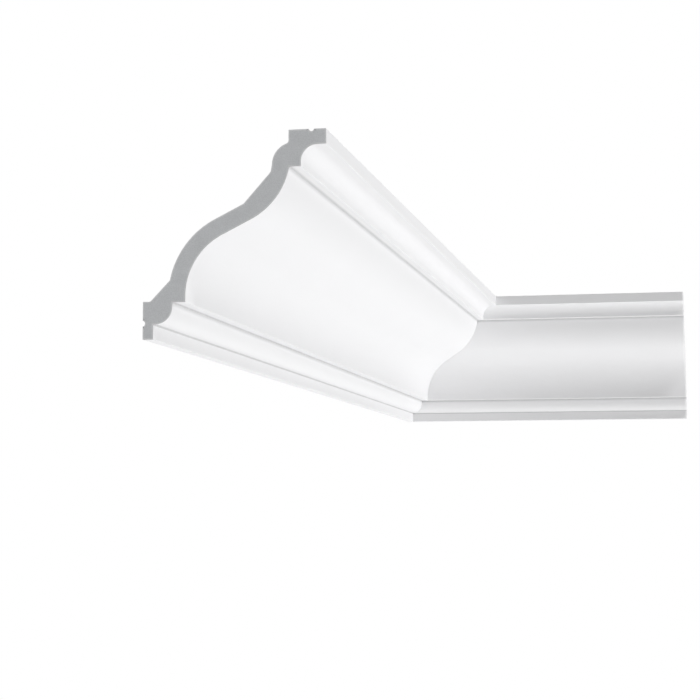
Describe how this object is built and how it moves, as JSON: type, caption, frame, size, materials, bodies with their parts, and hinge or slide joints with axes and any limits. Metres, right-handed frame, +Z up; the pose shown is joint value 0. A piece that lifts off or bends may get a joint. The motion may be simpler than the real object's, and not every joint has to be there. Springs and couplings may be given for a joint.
{
  "type": "cornice moulding corner",
  "caption": "Hollow-backed cornice moulding for an inside corner: mitred lengths with a cavetto, a broad ogee and a small ovolo, glued to the walls and the ceiling.",
  "frame": {"origin": "where the two wall planes meet, level with the moulding's lower edge", "axes": "+X along the back wall to the right, -Y along the left wall towards the viewer, +Z up to the ceiling"},
  "size_m": [0.361, 1.107, 0.147],
  "materials": {
    "primed_foam": "smooth matt white primer on moulded rigid foam, with bare grey foam on the sawn ends"
  },
  "bodies": {
    "root": {"left_length": "primed_foam", "right_length": "primed_foam"}
  },
  "joints": []
}
